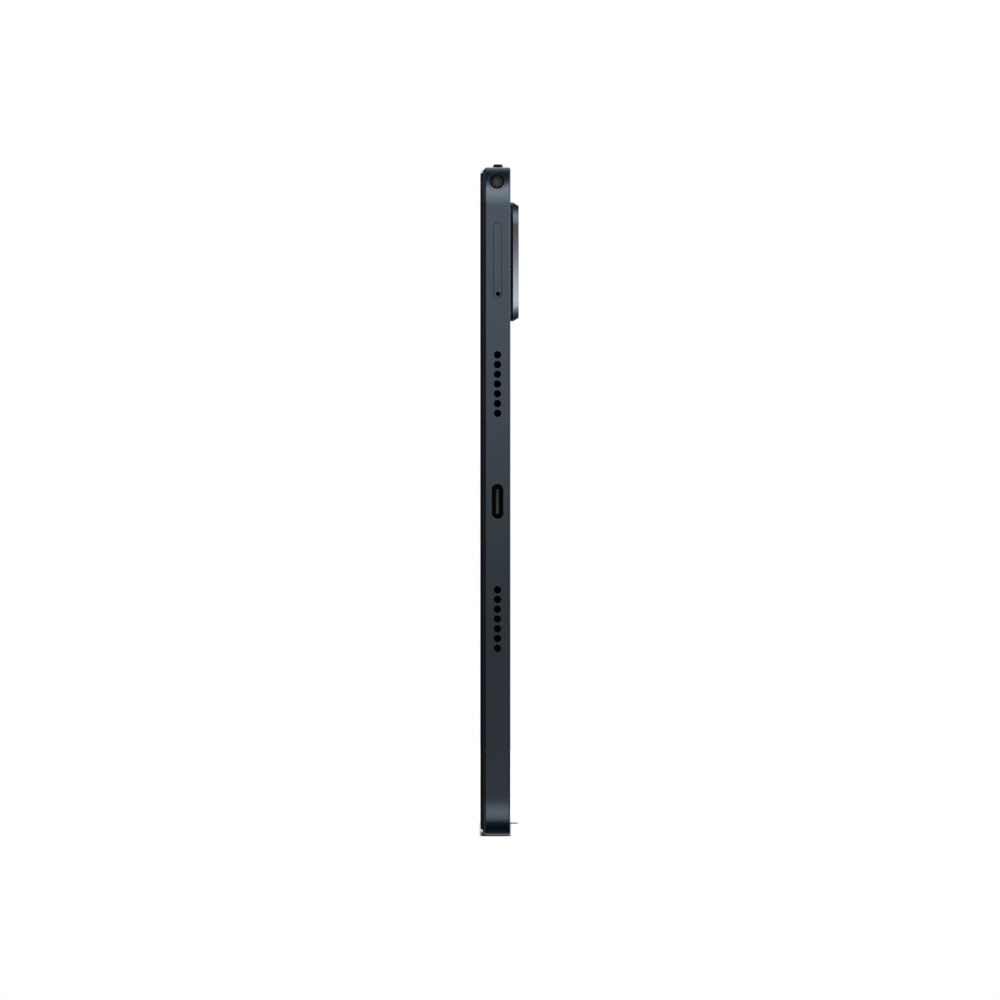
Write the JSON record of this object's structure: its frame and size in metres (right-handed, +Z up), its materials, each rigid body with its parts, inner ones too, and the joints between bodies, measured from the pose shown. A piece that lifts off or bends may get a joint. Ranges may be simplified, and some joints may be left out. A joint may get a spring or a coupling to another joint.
{
  "type": "tablet computer",
  "caption": "Slim tablet computer with a metal unibody, a glass front, a raised rear camera island, side buttons, ports and speaker holes.",
  "frame": {"origin": "middle of the bounding box's bottom, on the long edge that the tablet stands on", "axes": "+X towards the short edge with the ports, -Y the way the screen faces, +Y the rear, +Z up"},
  "size_m": [0.257, 0.0098, 0.1694],
  "materials": {
    "anodised_aluminium": "fine satin anodised, blue-grey",
    "black_glass": "glossy, opaque black border",
    "bezel_plastic": "satin",
    "island_metal": "polished, dark blue-grey",
    "lens_metal": "turned, dark",
    "lens_glass": "coated lens glass",
    "flash_diffuser": "frosted",
    "display_film": "glossy, opaque",
    "light_guide": "clear sheet with white film",
    "adhesive": "clear glue film",
    "steel": "plain sheet steel",
    "circuit_board": "solder mask",
    "flex_film": "amber film",
    "black_plastic": "moulded",
    "tongue_plastic": "moulded",
    "gauze": "fine woven mesh",
    "battery_pouch": "laminated foil pouch"
  },
  "bodies": {
    "tablet": {"rear_housing": "anodised_aluminium", "front_bezel_ring": "bezel_plastic", "cover_glass": "black_glass", "display_adhesive": "adhesive", "lcd_panel": "display_film", "light_guide": "light_guide", "backlight_tray": "steel", "display_flex": "flex_film", "front_camera_module": "black_plastic", "camera_island": "island_metal", "camera_lens_ring": "lens_metal", "camera_window": "lens_glass", "flash_lens": "flash_diffuser", "flash_led": "flash_diffuser", "rear_camera_module": "black_plastic", "main_board": "circuit_board", "processor_shield": "steel", "power_shield": "steel", "wifi_antenna": "black_plastic", "sub_board": "circuit_board", "board_flex": "flex_film", "usb_shell": "steel", "usb_tongue": "tongue_plastic", "headphone_jack": "black_plastic", "card_reader": "steel", "battery_cell_left": "battery_pouch", "battery_cell_right": "battery_pouch", "battery_board": "circuit_board", "microphone": "steel", "key_bracket": "steel", "key_flex": "flex_film", "speaker_port_upper": "black_plastic", "speaker_mesh_port_upper": "gauze", "speaker_port_lower": "black_plastic", "speaker_mesh_port_lower": "gauze", "speaker_far_upper": "black_plastic", "speaker_mesh_far_upper": "gauze", "speaker_far_lower": "black_plastic", "speaker_mesh_far_lower": "gauze", "board_screw_1": "steel", "board_screw_2": "steel", "board_screw_3": "steel", "board_screw_4": "steel", "sub_board_screw_1": "steel", "bracket_screw_1": "steel", "sub_board_screw_2": "steel", "bracket_screw_2": "steel"},
    "power_button": {"power_button": "anodised_aluminium"},
    "volume_rocker": {"volume_rocker": "anodised_aluminium"},
    "card_tray": {"card_tray": "anodised_aluminium"},
    "eject_rod": {"eject_rod": "steel"},
    "eject_lever": {"eject_lever": "steel"}
  },
  "joints": [
    {"name": "power_button_press", "type": "slide", "parent": "tablet", "child": "power_button", "axis": [0, 0, -1], "range_m": [0, 0.00035], "stiffness_N_per_m": 800},
    {"name": "volume_rocker_tilt", "type": "hinge", "parent": "tablet", "child": "volume_rocker", "pos_m": [-0.0665, -0.00044, 0.16645], "axis": [0, 1, 0], "range_deg": [-1.5, 1.5], "stiffness_Nm_per_rad": 0.15},
    {"name": "card_tray_slide", "type": "slide", "parent": "tablet", "child": "card_tray", "axis": [1, 0, 0], "range_m": [0, 0.027]},
    {"name": "eject_rod_push", "type": "slide", "parent": "tablet", "child": "eject_rod", "axis": [-1, 0, 0], "range_m": [0, 0.0014]},
    {"name": "eject_lever_turn", "type": "hinge", "parent": "tablet", "child": "eject_lever", "pos_m": [0.1016, -0.00044, 0.1425], "axis": [0, 1, 0], "range_deg": [0, 14]}
  ],
  "couplings": [
    {"joint": "eject_lever_turn", "follows": "eject_rod_push", "rad_per_m": 171.8}
  ]
}
